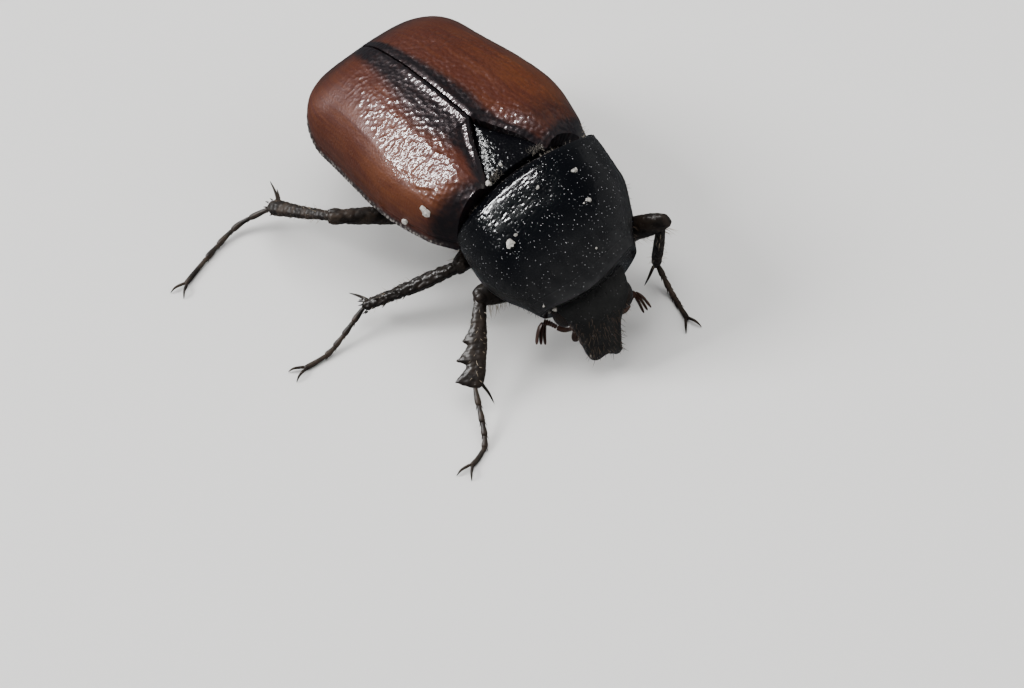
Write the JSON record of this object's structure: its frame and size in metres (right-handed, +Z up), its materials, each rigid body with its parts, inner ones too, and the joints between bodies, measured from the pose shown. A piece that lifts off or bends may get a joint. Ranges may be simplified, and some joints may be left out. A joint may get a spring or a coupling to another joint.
{
  "type": "flower chafer beetle",
  "caption": "Small flower chafer standing with lowered head: brown wing cases with a black seam, black shield, jointed legs with toothed fore shins.",
  "frame": {"origin": "on the floor, under the middle of the beetle's outline seen from above", "axes": "+Z up from the floor; -Y is where the head faces; +X is the beetle's left"},
  "size_m": [0.013, 0.0148, 0.0052],
  "materials": {
    "brown_shell": "glossy, finely wrinkled",
    "black_shell": "glossy, finely pitted",
    "dull_black": "satin",
    "leg_black": "glossy, pitted",
    "eye_brown": "glossy, finely faceted",
    "feeler_brown": "satin"
  },
  "bodies": {
    "root": {"abdomen": "dull_black", "antenna_left": "feeler_brown", "antenna_right": "feeler_brown", "coxa_fore_left": "leg_black", "coxa_fore_right": "leg_black", "coxa_hind_left": "leg_black", "coxa_hind_right": "leg_black", "coxa_mid_left": "leg_black", "coxa_mid_right": "leg_black", "elytron_left": "brown_shell", "elytron_right": "brown_shell", "eye_left": "eye_brown", "eye_right": "eye_brown", "femur_fore_left": "leg_black", "femur_fore_right": "leg_black", "femur_hind_left": "leg_black", "femur_hind_right": "leg_black", "femur_mid_left": "leg_black", "femur_mid_right": "leg_black", "head": "black_shell", "palp_left": "feeler_brown", "palp_right": "feeler_brown", "prothorax": "black_shell", "pygidium": "dull_black", "scutellum": "black_shell", "tarsus_fore_left": "leg_black", "tarsus_fore_right": "leg_black", "tarsus_hind_left": "leg_black", "tarsus_hind_right": "leg_black", "tarsus_mid_left": "leg_black", "tarsus_mid_right": "leg_black", "thorax": "dull_black", "tibia_fore_left": "leg_black", "tibia_fore_right": "leg_black", "tibia_hind_left": "leg_black", "tibia_hind_right": "leg_black", "tibia_mid_left": "leg_black", "tibia_mid_right": "leg_black"}
  },
  "joints": []
}
